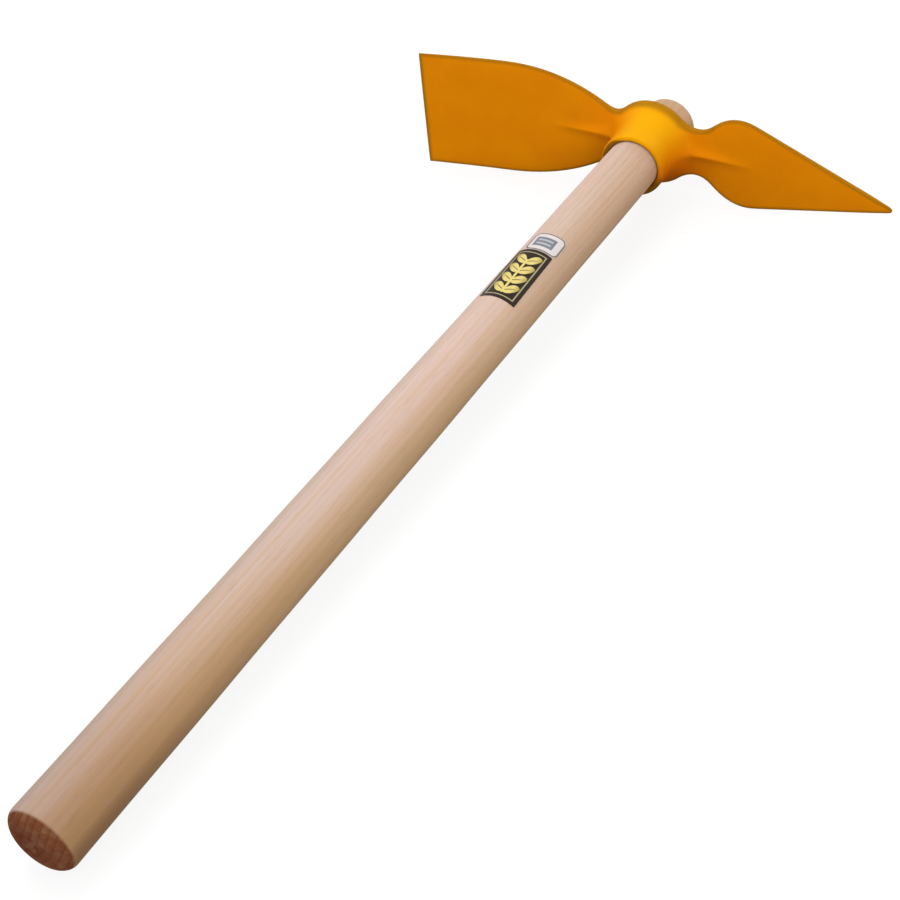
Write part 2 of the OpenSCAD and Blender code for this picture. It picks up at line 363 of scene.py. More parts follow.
# sections: rootRings give where one meets the outline and the middle line, stations lie straight across
broad = {
    "turn": -1, "reach": 154.0, "half": 39.0, "shoulderAt": 98.0, "shoulder": 122.0, "hollow": 8.0,
    "rise": 33.2, "curve": 740.0, "curveEnd": 154.0, "tip": 0.0,
    "rootRings": ((21.2, 28.4), (23.4, 29.8), (26.2, 31.4), (30.0, 33.6), (34.5, 36.5), (39, 40)),
    "stations": (45, 51, 57, 63, 69, 77, 87, 98, 111, 125, 137, 140.5, 147, 152.6, 154),
}
pointed = {
    "turn": 1, "reach": 156.0, "half": 29.0, "shoulderAt": 60.5, "shoulder": 27.4, "hollow": 15.0,
    "rise": 30.7, "curve": 380.0, "curveEnd": 64.0, "tip": 2.2,
    "rootRings": ((21.2, 28.4), (24.2, 30.0), (28.0, 32.4), (32.5, 35.0), (37, 38)),
    "stations": (41.5, 46, 51, 56, 60.5, 65, 71, 80, 92, 105, 118, 130, 140, 147, 151.5, 154, 155.3, 155.9),
}


def hollowCentre(blade):
    # the hollow's arc touches the round boss and the shoulder's arc from outside
    shoulder = Vector((blade["shoulderAt"], blade["half"] - blade["shoulder"]))
    away, unit = shoulder.length, shoulder.normalized()
    fromAxis, fromShoulder = eye["boss"] + blade["hollow"], blade["shoulder"] + blade["hollow"]
    along = (fromAxis ** 2 - fromShoulder ** 2 + away ** 2) / (2 * away)
    off = math.sqrt(fromAxis ** 2 - along * along)
    hollow = Vector((unit.x * along - unit.y * off, unit.y * along + unit.x * off))
    return hollow, shoulder


def halfWidthAt(blade, x):
    # hollow, round shoulder, then straight sides or straight edges to a rounded point
    hollow, shoulder = hollowCentre(blade)
    dip, r, tip = blade["hollow"], blade["shoulder"], blade["tip"]
    if x < blendAt(hollow.x, shoulder.x, dip / (dip + r)):
        return hollow.y - math.sqrt(dip ** 2 - min(dip ** 2, (x - hollow.x) ** 2))
    leaveAt = shoulder.x
    if tip:
        reach = Vector((blade["reach"] - tip, 0)) - shoulder
        lean = math.asin((r - tip) / reach.length) - math.atan2(reach.y, reach.x)
        leaveAt = shoulder.x + r * math.sin(lean)
        touchAt = blade["reach"] - tip + tip * math.sin(lean)
    if x < leaveAt:
        return shoulder.y + math.sqrt(r * r - (x - shoulder.x) ** 2)
    if not tip:
        return blade["half"]
    if x < touchAt:
        return tip * math.cos(lean) + (touchAt - x) * math.tan(lean)
    return math.sqrt(max(0.0, tip ** 2 - (x - blade["reach"] + tip) ** 2))


def middleAt(blade, x):
    # height of the blade's middle line: an arc that runs out straight, in the boss a line from blade to blade
    if x < eye["boss"]:
        ends = [middleAt(side, eye["boss"]) for side in (broad, pointed)]
        return blendAt(ends[0], ends[1], 0.5 + blade["turn"] * x / eye["boss"] / 2)
    r, end = blade["curve"], blade["curveEnd"]
    drop = r - math.sqrt(r * r - min(x, end) ** 2) + max(0.0, x - end) * math.tan(math.asin(end / r))
    return blade["rise"] - drop


def thicknessAt(blade, x):
    # thicker at the neck, ground thin towards the cutting edge
    body = blendAt(blades["neckThick"], blades["thick"], clamped((x - eye["boss"]) / blades["neckLong"]))
    ground = clamped((x - blade["reach"] + blades["bevel"]) / blades["bevel"])
    return blendAt(body, blades["edgeThick"], ground)


def ribAt(x, w):
    # a ridge under the blade, hollow on both flanks, dying out towards its end
    part = clamped((x - eye["boss"]) / (blades["ribReach"] - eye["boss"]))
    wide = blendAt(blades["ribHalf"], blades["ribEnd"], part)
    flank = max(0.0, 1 - abs(w) / wide)
    return blades["ribHigh"] * (1 - part) ** blades["ribFade"] * flank ** blades["ribFlank"]


def rootAt(x, w):
    # the blade runs into the flared eye in a hollow
    away = max(0.0, math.hypot(x, w) - eye["boss"])
    fade = smoothStep(*blades["rootFade"], math.degrees(math.atan2(abs(w), x)))
    return blades["rootHigh"] * fade * max(0.0, 1 - away / blades["rootWide"]) ** 2


def bladeRing(blade, edgeX, middleX):
    # one closed section, 28 points: under side, one edge, upper side, other edge
    width = halfWidthAt(blade, edgeX)
    flat = max(width * blades["leastFlat"], width - blades["sideRound"])
    atBoss = smoothStep(*blades["bossFade"], middleX)
    steps = [blendAt(a, b, atBoss) for a, b in zip(blades["steps"], blades["stepsAtBoss"])]
    steps += [(steps[-1] + flat) / 2, flat]
    if flat < blades["narrow"]:
        steps = [flat * part for part in blades["narrowSteps"]]
    across = [-w for w in reversed(steps)] + [0.0] + steps

    def spot(w, side):
        x = blendAt(middleX, edgeX, (w / width) ** 2)
        half = thicknessAt(blade, x) / 2 * (1 - blades["sideThinner"] * (w / width) ** 2)
        below = ribAt(x, w) + rootAt(x, w) if side < 0 else 0.0
        return (blade["turn"] * x, middleAt(blade, x) + side * half - below, blade["turn"] * w)

    under = [spot(w, -1) for w in across]
    upper = [spot(w, 1) for w in reversed(across)]
    return under + [spot(width, 0)] + upper + [spot(-width, 0)]


def eyeProfile(angle):
    # radius and height: up the outside as far as the boss, then over it to the upper lip and down the bore
    r, boss, top = eye["radius"], eye["boss"], eye["length"]
    boreLow, boreHigh = eye["boreLow"], eye["boreHigh"]
    level = middleAt(pointed, boss * math.cos(angle))
    halfThick = blades["neckThick"] / 2
    x, w = abs(boss * math.cos(angle)), boss * math.sin(angle)
    low, high = level - halfThick - ribAt(x, w) - rootAt(x, w), level + halfThick
    lowerLip = [(r + out, up) for out, up in eye["lowerLip"]]
    endOut, endUp = boss + eye["flareEnd"][0], low + eye["flareEnd"][1]
    flare = [
        (blendAt(r, endOut, part ** eye["flareBend"]), blendAt(eye["flareFrom"], endUp, part))
        for part in eye["flareSteps"]
    ]
    bossEdge = [(boss + eye["bossUnder"], low), (boss, level), (boss + eye["bossOver"], high)]
    collar = [(boss + eye["bossStep"][0], high + eye["bossStep"][1])]
    collar += [(r + out, blendAt(high, top, part)) for out, part in eye["collar"]]
    upperLip = [(r + out, top + up) for out, up in eye["upperLip"]]
    bore = [(boreHigh + out, top + up) for out, up in eye["boreTop"]]
    bore += [((boreHigh + boreLow) / 2, top / 2)] + [(boreLow + out, up) for out, up in eye["boreFoot"]]
    return lowerLip + flare, bossEdge + collar + upperLip + bore


def addEye(mesh):
    # the eye and its boss, left open in two patches that the blades grow from
    columns, patch = eye["columns"], eye["patch"]
    stepAngle = 2 * math.pi / columns
    grow = 3 / (2 + math.cos(stepAngle))  # the smoothed cage pulls in by this much
    rows = []
    for i in range(columns):
        outside, over = eyeProfile(i * stepAngle)
        rows.append([mesh.verts.new(aroundAxis(d * grow, i * stepAngle, y)) for d, y in outside + over])
    bossRow, count = len(outside), len(rows[0])
    for i in range(columns):
        half = i % (columns // 2)
        fromBlade = min(half, columns // 2 - 1 - half) < patch
        a, b = rows[i], rows[(i + 1) % columns]
        for j in range(count):
            n = (j + 1) % count
            if not (fromBlade and bossRow <= j < bossRow + 2):
                mesh.faces.new((a[j], b[j], b[n], a[n]))
    return rows, bossRow


def patchRim(blade, rows, bossRow):
    # the edge of the patch that a blade grows from, in the order of the blade's sections
    columns, patch = eye["columns"], eye["patch"]
    middle = 0 if blade is pointed else columns // 2
    near = [(middle + k) % columns for k in range(-patch, patch + 1)]
    rim = [rows[i][bossRow] for i in near] + [rows[near[-1]][bossRow + 1]]
    return rim + [rows[i][bossRow + 2] for i in reversed(near)] + [rows[near[0]][bossRow + 1]]


def addBlade(mesh, crease, blade, last):
    # section after section from the eye's open patch, then an end closed by way of a middle row
    ridge, side = eye["patch"], 2 * eye["patch"] + 1
    for edgeX, middleX in blade["rootRings"] + tuple((x, x) for x in blade["stations"]):
        ring = [mesh.verts.new(spot) for spot in bladeRing(blade, edgeX, middleX)]
        for k in range(len(ring)):
            n = (k + 1) % len(ring)
            mesh.faces.new((last[k], last[n], ring[n], ring[k]))
        if middleX < blades["crestReach"]:
            mesh.edges.get((last[ridge], ring[ridge]))[crease] = blades["crest"]
        last = ring
    under, upper = last[:side], list(reversed(last[side + 1:2 * side + 1]))
    between = [mesh.verts.new((under[k].co + upper[k].co) / 2) for k in range(1, side - 1)]
    between = [last[2 * side + 1]] + between + [last[side]]
    for k in range(side - 1):
        mesh.faces.new((under[k], under[k + 1], between[k + 1], between[k]))
        mesh.faces.new((between[k], between[k + 1], upper[k + 1], upper[k]))
    if not blade["tip"]:  # a square end keeps its corners
        for k in range(len(last)):
            mesh.edges.get((last[k], last[(k + 1) % len(last)]))[crease] = 1.0


def buildHead():
    mesh = bmesh.new()
    crease = mesh.edges.layers.float.new("crease_edge")
    rows, bossRow = addEye(mesh)
    for blade in (broad, pointed):
        addBlade(mesh, crease, blade, patchRim(blade, rows, bossRow))
    bmesh.ops.recalc_face_normals(mesh, faces=mesh.faces)
    return finishMesh(mesh, "hoeHead")


def edgeGap(blade, x, w):
    # how far inside the outline a point lies: inside the boss, or beyond where the hollow leaves it
    hollow = hollowCentre(blade)[0]
    if x < eye["boss"] * hollow.x / hollow.length:
        return eye["boss"] - math.hypot(x, w)
    step = 0.1
    slope = (halfWidthAt(blade, x + step) - halfWidthAt(blade, x - step)) / (2 * step)
    return min((halfWidthAt(blade, x) - w) / math.hypot(1, slope), blade["reach"] - x)


def markEdges(mesh):
    # how near each point is to the outline, 1 on the edge itself, and a mask of painted shade in the gap at
    # the eye's lower mouth and under its lower lip
    edges, mouthShades = [], []
    for vert in mesh.vertices:
        x, y, z = vert.co
        gap = edgeGap(pointed if x > 0 else broad, abs(x), abs(z))
        edges.append(1 - smoothStep(*paint["thinBand"], gap))
        ring = paint["mouthRadius"] + paint["mouthWider"] * smoothStep(*paint["mouthAside"], -x)
        inRing = smoothStep(ring, ring - paint["mouthSoft"], math.hypot(x, z))
        lowLip = smoothStep(*paint["lipUnder"], z) * smoothStep(*paint["lipUp"], y)
        mouthShades.append(max(inRing * smoothStep(*paint["mouthUp"], y), lowLip))
    for name, values in (("edgeMask", edges), ("mouthShadeMask", mouthShades)):
        mesh.attributes.new(name, "FLOAT", "POINT").data.foreach_set("value", values)


def paintMaterial():
    material, tree, shader = newMaterial("orangeEnamel")
    coords = toolCoords(tree)
    edge = put(tree, "Attribute", attribute_name="edgeMask").outputs["Fac"]
    mouth = put(tree, "Attribute", attribute_name="mouthShadeMask").outputs["Fac"]
    worn = useGroup(tree, scuff, Vector=coords, Edge=edge, Amount=paint["wear"])
    out = outFromAxis(tree, coords)
    place = put(tree, "SeparateXYZ", {0: coords}).outputs
    upward = maths(tree, "DIVIDE", place[2], out)
    sideways = maths(tree, "DIVIDE", place[0], out)
    # painted highlight: the eye's upper side tinted yellower, less so towards the broad blade
    litEye = times(tree, ramp(tree, out, paint["eyeOut"]), ramp(tree, upward, paint["eyeUp"]))
    litEye = times(tree, litEye, ramp(tree, sideways, paint["eyeAside"]))
    # painted shade under the eye, where the blades run into it
    shadeUnderEye = times(tree, ramp(tree, out, paint["shadeUnderEyeOut"]), ramp(tree, upward, paint["shadeUnderEyeUp"]))
    shadeUnderEye = times(tree, shadeUnderEye, ramp(tree, sideways, paint["shadeUnderEyeAside"]))  # painted shade, weaker towards the broad blade
    runs = ramp(tree, worn["Mottle"], paint["deepSpan"])
    colour = blendColours(tree, runs, paint["colour"], paint["deep"])
    colour = blendColours(tree, litEye, colour, paint["eyeLitTone"])
    colour = tinted(tree, colour, paint["shadeUnderEye"], shadeUnderEye, paint["shadeUnderEyeShare"])
    colour = tinted(tree, colour, paint["thin"], edge, paint["thinShare"])
    colour = tinted(tree, colour, paint["bare"], worn["Wear"], paint["bareShare"])
    # painted shade at the eye's lower mouth
    colour = tinted(tree, colour, paint["mouth"], mouth, paint["mouthShare"])
    tree.links.new(colour, shader.inputs["Base Color"])
    shader.inputs["Specular IOR Level"].default_value = paint["shine"]
    rough = unevenRoughness(tree, worn["Mottle"], paint["roughness"], paint["unevenRough"])
    rough = maths(tree, "MULTIPLY_ADD", shadeUnderEye, paint["shadeUnderEyeRough"], rough)
    tree.links.new(rough, shader.inputs["Roughness"])
    peel = noise(tree, coords, *paint["peel"])
    relief = maths(tree, "MULTIPLY_ADD", worn["Mottle"], paint["sag"], peel)
    bumpInto(tree, shader, relief, *paint["bump"])
    return material


hoeHead = addPiece("hoeHead", buildHead(), "root", "head_paint", "hoe_head")
smoother = hoeHead.modifiers.new("smooth", "SUBSURF")
smoother.levels = smoother.render_levels = eye["smoothing"]
applyModifiers(hoeHead)
markEdges(hoeHead.data)
layDown(hoeHead.data)
hoeHead.data.materials.append(paintMaterial())
print("head made,", len(hoeHead.data.polygons), "faces")


# handle
stick = {
    "length": 600.0, "grip": 16.75, "seat": 16.0, "taper": 443.0, "spread": 0.6,
    "buttRound": 6.0, "buttDome": 8.0, "buttRings": (1.5, 4, 6.5), "buttSteps": 10,
    "tipRound": 3.5, "tipRings": (10, 7, 4, 1.5), "tipSteps": 8, "sides": 128, "rowEvery": 6.0,
    "bow": 0.10, "bowPitch": 0.021, "bowStart": 0.7, "ripple": 0.06, "ripplePitch": 0.063,
    "swaySpan": (-5, -60), "swayOut": 10,
}
kerf = {"deep": 40.0, "thick": 4.5, "thin": 1.6, "wide": 60.0, "across": False}
crossSlot = {"deep": 24.0, "thick": 3.0, "thin": 0.6, "wide": 20.0, "across": True}
wood = {
    "pale": (0.735, 0.60, 0.555, 1), "rosy": (0.715, 0.525, 0.465, 1), "tan": (0.69, 0.422, 0.194, 1),
    "late": (0.50, 0.30, 0.19, 1), "fleck": (0.40, 0.23, 0.14, 1), "darkerToButt": (0.80, 0.80, 0.80, 1),
    "end": (0.18, 0.058, 0.024, 1), "endCore": (0.115, 0.022, 0.008, 1), "endPale": (0.26, 0.125, 0.06, 1),
    "seed": 0.0, "ringWidth": 3.4, "roughness": 0.62,
}
# how strongly each effect shows on the stick and on its wedge, and the spans it comes in over
grainLook = {
    "towardTanSpan": (-0.15, -0.56), "towardTanShare": 0.22, "darkerToButtSpan": (-0.16, -0.5), "streakShare": 0.4,
    "ringShare": 0.2, "fibreSpan": (0.42, 0.75), "fibreShare": 0.16, "fleckShare": 0.14,
    "endSpan": (0.38, 0.58), "core": (0.003, 0, 0), "coreSpan": (0.002, 0.011), "endRingShare": 0.65,
    "blotch": (150.0, 3.0, 0.6), "blotchSpan": (0.46, 0.66), "blotchShare": 0.7,
    "pores": (2600.0, 1.0, 0.4), "poreSpan": (0.56, 0.7), "poreShare": 0.45,
    "shine": 0.1, "fibreRough": 0.2, "endRough": 0.3, "fleckDeep": -0.6, "bump": (0.2, 0.0003),
}
# shades of the stick alone: painted shade tints the side turned from the light tan and darkens that side near
# the butt, the underside near the butt and the top near the eye; the butt end is darker and the tip past the
# eye warmer an Up is metres along the stick from the eye, an Aside metres towards the shaded side
stickLook = {
    # the shaded side is painted shade: the side turned from the light is tinted tan, wider towards the butt
    "shadedSide": (0.97, 0.0, -0.26), "shadedSideSpan": (-0.002, 0.015), "shadedSideShare": 0.85,
    "leanFrom": 0.34, "lean": -0.016,
    # the next three tones are painted shade: on the shaded side near the butt, on top near the eye and
    # underneath near the butt
    "sideShadeNearButt": (0.87, 0.80, 0.70, 1), "sideShadeNearButtUp": (-0.34, -0.5), "sideShadeNearButtAside": (-0.006, 0.006),
    "topShade": (0.86, 0.81, 0.70, 1), "topShadeUp": (-0.22, -0.11),
    "topFrom": (-0.011, -0.003), "topTo": (0.013, 0.005),
    "undersideShade": (0.66, 0.61, 0.57, 1), "undersideShadeUp": (-0.4, -0.52), "undersideShadeAside": (0.0142, 0.017),
    "buttEnd": (0.85, 0.84, 0.86, 1), "buttEndUp": (-0.46, -0.545),
    # the tip past the eye is tinted warmer and darker
    "oversprayed": (0.88, 0.80, 0.64, 1), "oversprayedUp": (0.036, 0.042),
}
tipAt = stick["length"] - lie["buttToEye"]


def handleRadius(y):
    # straight grip, long taper, then wider again through the eye
    if y < -stick["taper"]:
        return stick["grip"]
    if y < 0:
        return stick["seat"] + (stick["grip"] - stick["seat"]) * -y / stick["taper"]
    return stick["seat"] + stick["spread"] * y / eye["length"]


def latheSway(y, angle):
    # hand sanding leaves the stick a little uneven, but true where it seats in the eye
    bow = stick["bow"] * math.sin(y * stick["bowPitch"] + stick["bowStart"])
    ripple = stick["ripple"] * math.sin(y * stick["ripplePitch"] + 2 * angle)
    return (bow + ripple) * smoothStep(*stick["swaySpan"], y)


def handleProfile():
    # radius and height from the butt's centre to the tip's centre
    butt, tip = -lie["buttToEye"], tipAt
    b, t, dome = stick["buttRound"], stick["tipRound"], stick["buttDome"]
    rim, end = stick["grip"] - dome, handleRadius(tip)
    points = [(r, butt) for r in stick["buttRings"] + (rim,)]
    for k in range(1, stick["buttSteps"] + 1):
        a = k / stick["buttSteps"] * math.pi / 2
        points.append((rim + dome * math.sin(a), butt + b - b * math.cos(a)))
    straight = tip - butt - b - t
    count = int(straight / stick["rowEvery"])
    for k in range(1, count):
        y = butt + b + straight * k / count
        points.append((handleRadius(y), y))
    for k in range(stick["tipSteps"] + 1):
        a = k / stick["tipSteps"] * math.pi / 2
        points.append((end - t + t * math.cos(a), tip - t + t * math.sin(a)))
    return points + [(r, tip) for r in stick["tipRings"]]


def buildHandle():
    mesh = bmesh.new()
    sides = stick["sides"]
    rows = []
    for radius, y in handleProfile():
        row = []
        for i in range(sides):
            angle = 2 * math.pi * i / sides
            r = radius + latheSway(y, angle) * min(1.0, radius / stick["swayOut"])
            row.append(mesh.verts.new(aroundAxis(r, angle, y)))
        rows.append(row)
    for a, b in zip(rows, rows[1:]):
        for i in range(sides):
            n = (i + 1) % sides
            mesh.faces.new((a[i], b[i], b[n], a[n]))
    mesh.faces.new(rows[0])
    mesh.faces.new(list(reversed(rows[-1])))
    bmesh.ops.recalc_face_normals(mesh, faces=mesh.faces)
    return finishMesh(mesh, "handle")


def wedgeCutter(cut):
    # a tapered slab hanging from just above the tip
    over = 2.0
    flare = (cut["thick"] - cut["thin"]) / cut["deep"]
    mesh = bmesh.new()
    corners = []
    for y, t in ((tipAt + over, cut["thick"] + flare * over), (tipAt - cut["deep"], cut["thin"])):
        for a, b in ((-1, -1), (1, -1), (1, 1), (-1, 1)):
            x, z = a * t / 2, b * cut["wide"] / 2
            corners.append(mesh.verts.new((z, y, x) if cut["across"] else (x, y, z)))
    for face in ((0, 1, 2, 3), (7, 6, 5, 4), (0, 4, 5, 1), (1, 5, 6, 2), (2, 6, 7, 3), (3, 7, 4, 0)):
        mesh.faces.new([corners[k] for k in face])
    bmesh.ops.recalc_face_normals(mesh, faces=mesh.faces)
    cutter = bpy.data.objects.new("cutter", finishMesh(mesh, "cutter"))
    scene.collection.objects.link(cutter)
    return cutter


def stickSides(tree, coords, height):
    # metres towards the shaded side, whose painted tan is laid out from here, and the same with a lean that
    # makes that side wider at the butt
    toSide = dotProduct(tree, coords, stickLook["shadedSide"])
    fromHold = maths(tree, "ADD", height, stickLook["leanFrom"])
    return toSide, maths(tree, "MULTIPLY_ADD", fromHold, stickLook["lean"], toSide)


def stickShades(tree, colour, height, toSide, leaned):
    # painted shade on the shaded side near the butt, on top near the eye and underneath near the butt; then
    # the butt end and the tip past the eye
    onTop = times(tree, ramp(tree, toSide, stickLook["topFrom"]), ramp(tree, toSide, stickLook["topTo"]))
    beside = {
        "sideShadeNearButt": ramp(tree, leaned, stickLook["sideShadeNearButtAside"]),
        "topShade": onTop,
        "undersideShade": ramp(tree, toSide, stickLook["undersideShadeAside"]),
    }
    for shade in ("sideShadeNearButt", "topShade", "undersideShade", "buttEnd", "oversprayed"):
        mask = ramp(tree, height, stickLook[shade + "Up"])
        if shade in beside:
            mask = times(tree, beside[shade], mask)
        colour = blendColours(tree, mask, colour, stickLook[shade], "MULTIPLY")
    return colour


def endGrain(tree, coords, rings, tones):
    # colour of the cut ends, and a mask of where the surface faces along the stick
    look = grainLook
    normal = put(tree, "TexCoord", object=toolAxis).outputs["Normal"]
    facing = maths(tree, "ABSOLUTE", dotProduct(tree, normal, tuple(alongHandle)))
    fromCore = outFromAxis(tree, vectorMaths(tree, "ADD", coords, look["core"]))
    colour = blendColours(tree, ramp(tree, fromCore, look["coreSpan"]), tones["endCore"], tones["end"])
    blotch = ramp(tree, noise(tree, coords, *look["blotch"]), look["blotchSpan"])
    pores = ramp(tree, noise(tree, coords, *look["pores"]), look["poreSpan"])
    colour = tinted(tree, colour, tones["endPale"], blotch, look["blotchShare"])
    colour = tinted(tree, colour, tones["endCore"], rings, look["endRingShare"])
    colour = tinted(tree, colour, tones["endCore"], pores, look["poreShare"])
    return colour, ramp(tree, facing, look["endSpan"])


def woodMaterial(name, tones, isStick):
    material, tree, shader = newMaterial(name)
    look = grainLook
    coords = toolCoords(tree)
    height = put(tree, "SeparateXYZ", {0: coords}).outputs[1]
    grain = useGroup(tree, timber, Vector=coords, RingWidth=tones["ringWidth"], Seed=tones["seed"])
    colour = blendColours(tree, grain["Drift"], tones["pale"], tones["rosy"])
    # the wood turns tanner towards the butt
    towardTan = times(tree, ramp(tree, height, look["towardTanSpan"]), look["towardTanShare"])
    if isStick:
        # painted shade: the side turned from the light is tinted tan
        toSide, leaned = stickSides(tree, coords, height)
        shadedSideMask = times(tree, ramp(tree, leaned, stickLook["shadedSideSpan"]), stickLook["shadedSideShare"])
        towardTan = maths(tree, "MAXIMUM", towardTan, shadedSideMask)
    colour = blendColours(tree, towardTan, colour, tones["tan"])
    fibre = ramp(tree, grain["Fibre"], look["fibreSpan"])
    colour = tinted(tree, colour, tones["tan"], grain["Streak"], look["streakShare"])
    colour = tinted(tree, colour, tones["late"], grain["Rings"], look["ringShare"])
    colour = tinted(tree, colour, tones["late"], fibre, look["fibreShare"])
    colour = tinted(tree, colour, tones["fleck"], grain["Flecks"], look["fleckShare"])
    # a grey tone darkens the wood towards the butt
    colour = blendColours(tree, ramp(tree, height, look["darkerToButtSpan"]), colour, tones["darkerToButt"], "MULTIPLY")
    if isStick:
        colour = stickShades(tree, colour, height, toSide, leaned)
    endColour, endOn = endGrain(tree, coords, grain["Rings"], tones)
    colour = blendColours(tree, endOn, colour, endColour)
    tree.links.new(colour, shader.inputs["Base Color"])
    shader.inputs["Specular IOR Level"].default_value = look["shine"]
    rough = unevenRoughness(tree, grain["Fibre"], tones["roughness"], look["fibreRough"])
    rough = maths(tree, "MULTIPLY_ADD", endOn, look["endRough"], rough)
    tree.links.new(rough, shader.inputs["Roughness"])
    relief = maths(tree, "MULTIPLY_ADD", grain["Flecks"], look["fleckDeep"], grain["Fibre"])
    bumpInto(tree, shader, relief, *look["bump"])
    return material


handle = addPiece("handle", buildHandle(), "root", "handle_wood", "handle")
for shape in (kerf, crossSlot):
    cutter = wedgeCutter(shape)
    cut = handle.modifiers.new("cut", "BOOLEAN")
    cut.object = cutter
    cut.solver = "EXACT"
    applyModifiers(handle)
    bpy.data.objects.remove(cutter)
layDown(handle.data)
handle.data.set_sharp_from_angle(angle=sharpFrom)
handle.data.materials.append(woodMaterial("beech", wood, True))
print("handle made,", len(handle.data.polygons), "faces")


# wedges in the handle's tip keep their built shape
wedgeWood = {
    "pale": (0.58, 0.40, 0.27, 1), "rosy": (0.54, 0.34, 0.22, 1), "tan": (0.50, 0.31, 0.19, 1),
    "late": (0.34, 0.20, 0.11, 1), "fleck": (0.26, 0.14, 0.08, 1), "darkerToButt": white,
    "end": (0.36, 0.20, 0.11, 1), "endCore": (0.30, 0.15, 0.08, 1), "endPale": (0.46, 0.29, 0.17, 1),
    "seed": 3.0, "ringWidth": 1.6, "roughness": 0.62, "round": 0.25,
}
wedgeSteel = {
    "clean": (0.23, 0.22, 0.21, 1), "rust": (0.13, 0.055, 0.027, 1), "rustSpan": (0.55, 0.95),
    "bloom": (170.0, 6.0, 0.7), "mottle": 0.4, "roughness": 0.5, "rustRough": 0.4,
    "scratches": ((300, 2400, 2400), 3.0, 0.6), "rustHigh": 0.6, "bump": (0.3, 0.0002), "round": 0.2,
}


def steelMaterial():
    material, tree, shader = newMaterial("wedgeSteel")
    look = wedgeSteel
    coords = toolCoords(tree)
    worn = useGroup(tree, scuff, Vector=coords, Edge=0.0, Amount=0.0)
    bloom = noise(tree, coords, *look["bloom"])
    bloom = maths(tree, "ADD", bloom, times(tree, worn["Mottle"], look["mottle"]))
    rusty = ramp(tree, bloom, look["rustSpan"])
    tree.links.new(blendColours(tree, rusty, look["clean"], look["rust"]), shader.inputs["Base Color"])
    tree.links.new(maths(tree, "SUBTRACT", 1.0, rusty), shader.inputs["Metallic"])
    rough = maths(tree, "MULTIPLY_ADD", rusty, look["rustRough"], look["roughness"])
    tree.links.new(rough, shader.inputs["Roughness"])
    scratches = longNoise(tree, coords, *look["scratches"])
    relief = maths(tree, "MULTIPLY_ADD", rusty, look["rustHigh"], scratches)
    bumpInto(tree, shader, relief, *look["bump"])
    return material


def dressNode(name, material, rounding):
    node = frame["nodes"][name]
    node.data.materials.clear()
    node.data.materials.append(material)
    soften = node.modifiers.new("soften", "BEVEL")
    soften.width = rounding * mm
    soften.segments = 2
    soften.angle_limit = sharpFrom
    soften.harden_normals = True


dressNode("kerf_wedge", woodMaterial("wedgeWood", wedgeWood, False), wedgeWood["round"])
dressNode("cross_wedge", steelMaterial(), wedgeSteel["round"])
print("wedges dressed")


# papers wrapped round the upper side of the handle; a band is given as middle, half width and softness
papers = {
    "lift": 0.24, "thick": 0.2, "columns": 72, "wear": 0.1, "wornEdge": (0.7, 0.0),
    "rubbed": (0.45, 0.40, 0.34, 1), "rubbedShare": 0.6, "unevenRough": 0.2, "shine": 0.14,
    "wrinkle": ((160, 60, 160), 3.0, 0.6), "bump": (0.15, 0.0006),
}
frontLabel = {
    "from": -123.0, "to": -170.0, "turn": 86.5, "angle": 76.0, "askew": 0.03, "round": 0.8, "rows": 52,
    "ground": (0.017, 0.0095, 0.004, 1), "leaf": (0.76, 0.62, 0.20, 1), "olive": (0.30, 0.22, 0.035, 1),
    "line": (0.42, 0.36, 0.20, 1), "lineBand": (2.7, 0.32, 0.12), "roughness": 0.36,
    "lowered": 2.3, "pitch": 9.3, "pairs": (0.0, 1.99, 0.01), "lean": 0.7, "leafLong": 7.4, "leafWide": 9.3,
    "swell": 0.6, "taper": 0.7, "leafEdge": (-0.12, 0.18), "leafTip": (1.0, 0.97), "oliveSpan": (0.55, 1.1),
    "veinAcross": (0.42, 0.2), "veinAlong": (0.8, 0.5),
    "stemAcross": (0.0, 0.6, 0.15), "stemAlong": (0.0, 16.0, 0.2),
}
topSticker = {
    "from": -105.5, "to": -122.5, "turn": 82.0, "angle": 71.0, "askew": 0.03, "round": 4.0, "rows": 40,
    "ground": (0.72, 0.67, 0.655, 1), "outline": (0.20, 0.155, 0.145, 1), "outlineBand": (0.7, 0.35, 0.25),
    "panel": (0.20, 0.215, 0.235, 1), "panelAcross": (0.8, 5.8, 0.2), "panelAlong": (0.0, 4.3, 0.2),
    "bar": (0.46, 0.48, 0.50, 1), "barAcross": (0.8, 4.2, 0.2), "upperBar": (1.7, 0.7, 0.15),
    "lowerBar": (-1.7, 0.7, 0.15), "roughness": 0.4,
}


def paperSize(paper):
    # middle along the stick, the stick's radius there, half the width round it and half the length
    middle = (paper["from"] + paper["to"]) / 2
    radius = handleRadius(middle)
    return middle, radius, math.radians(paper["angle"]) / 2 * radius, (paper["from"] - paper["to"]) / 2


def buildPaper(name, paper):
    # flat rows with rounded corners, turned a little askew and wrapped round the stick
    middle, radius, halfWide, halfLong = paperSize(paper)
    corner, askew, columns = paper["round"], paper["askew"], papers["columns"]
    mesh = bmesh.new()
    rows = []
    for j in range(paper["rows"] + 1):
        along = -halfLong * math.cos(math.pi * j / paper["rows"])  # closer together at the corners
        short = max(0.0, corner - (halfLong - abs(along)))
        inset = corner - math.sqrt(max(0.0, corner ** 2 - short ** 2))
        row = []
        for i in range(columns + 1):
            across = (2 * i / columns - 1) * (halfWide - inset)
            angle = math.radians(paper["turn"]) + (across + askew * along) / radius
            y = middle + along - askew * across
            r = handleRadius(y) + latheSway(y, angle) + papers["lift"]
            row.append(mesh.verts.new(aroundAxis(r, angle, y)))
        rows.append(row)
    for a, b in zip(rows, rows[1:]):
        for i in range(columns):
            mesh.faces.new((a[i], b[i], b[i + 1], a[i + 1]))
    return finishMesh(mesh, name)


